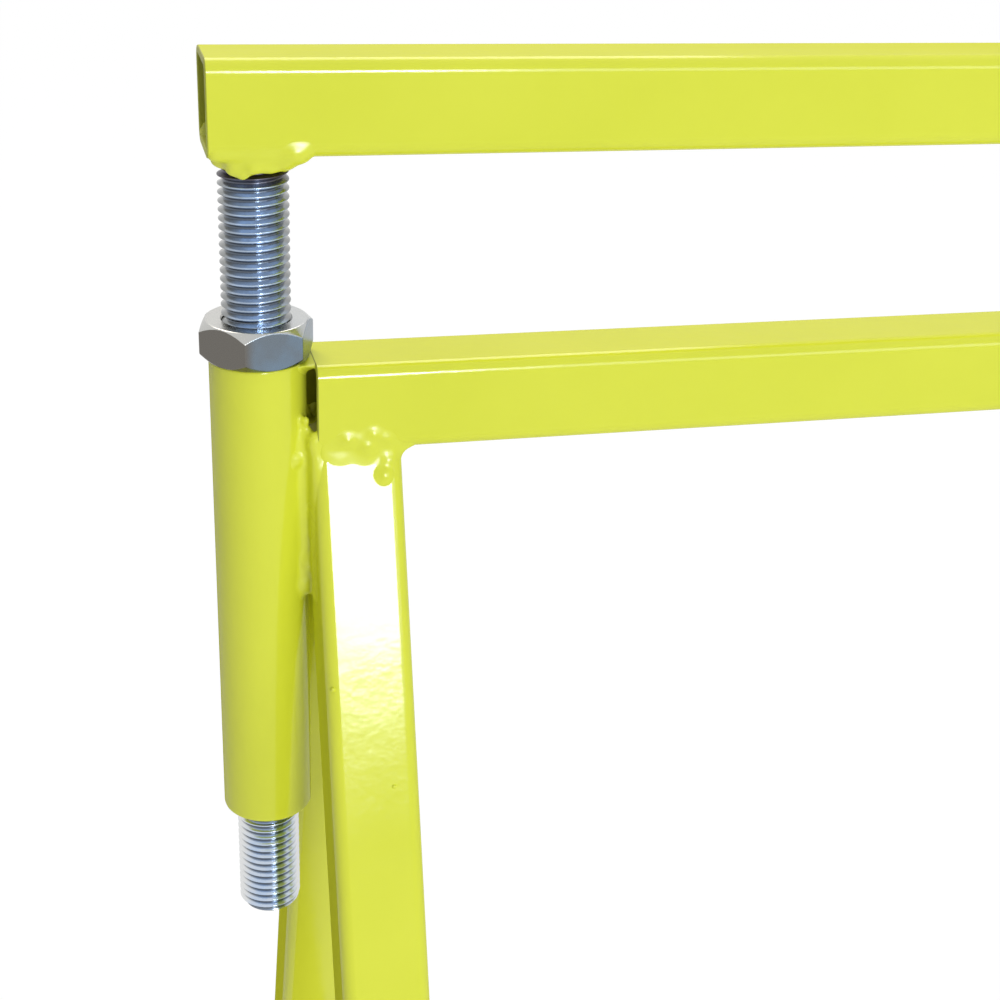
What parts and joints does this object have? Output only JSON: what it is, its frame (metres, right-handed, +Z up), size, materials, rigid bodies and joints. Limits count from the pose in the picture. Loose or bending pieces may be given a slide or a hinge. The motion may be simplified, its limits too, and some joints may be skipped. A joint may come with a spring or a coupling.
{
  "type": "adjustable fabrication stand",
  "caption": "Welded square-tube trestle stand with splayed legs, whose top rail is raised and lowered by nuts on threaded rods sliding in round sleeves.",
  "frame": {"origin": "on the floor, under the middle of the stand", "axes": "+X along the rails from left to right as pictured, +Y from the front legs to the rear legs, +Z up"},
  "size_m": [0.9086, 0.5258, 0.784],
  "materials": {
    "paint": "glossy lime-yellow powder coat with a fine orange-peel texture",
    "zinc": "bright zinc plate"
  },
  "bodies": {
    "frame": {"lower_rail": "paint", "left_sleeve": "paint", "left_sleeve_weld": "paint", "left_leg_weld": "paint", "left_brace": "paint", "left_brace_weld": "paint", "right_sleeve": "paint", "right_sleeve_weld": "paint", "right_leg_weld": "paint", "right_brace": "paint", "right_brace_weld": "paint", "front_left_leg": "paint", "front_left_foot": "paint", "front_left_foot_weld": "paint", "rear_left_leg": "paint", "rear_left_foot": "paint", "rear_left_foot_weld": "paint", "front_right_leg": "paint", "front_right_foot": "paint", "front_right_foot_weld": "paint", "rear_right_leg": "paint", "rear_right_foot": "paint", "rear_right_foot_weld": "paint"},
    "rail": {"top_rail": "paint", "left_threaded_rod": "zinc", "left_rod_weld": "paint", "right_threaded_rod": "zinc", "right_rod_weld": "paint"},
    "left_nut": {"left_adjusting_nut": "zinc"},
    "right_nut": {"right_adjusting_nut": "zinc"}
  },
  "joints": [
    {"name": "rail_lift", "type": "slide", "parent": "frame", "child": "rail", "axis": [0, 0, 1], "range_m": [-0.048, 0.138]},
    {"name": "left_nut_turn", "type": "hinge", "parent": "frame", "child": "left_nut", "pos_m": [-0.434, 0, 0.687], "axis": [0, 0, -1], "range_deg": [-5761, 16561]},
    {"name": "right_nut_turn", "type": "hinge", "parent": "frame", "child": "right_nut", "pos_m": [0.434, 0, 0.687], "axis": [0, 0, -1], "range_deg": [-5761, 16561]}
  ],
  "couplings": [
    {"joint": "left_nut_turn", "follows": "rail_lift", "rad_per_m": 2094.4},
    {"joint": "right_nut_turn", "follows": "rail_lift", "rad_per_m": 2094.4}
  ]
}
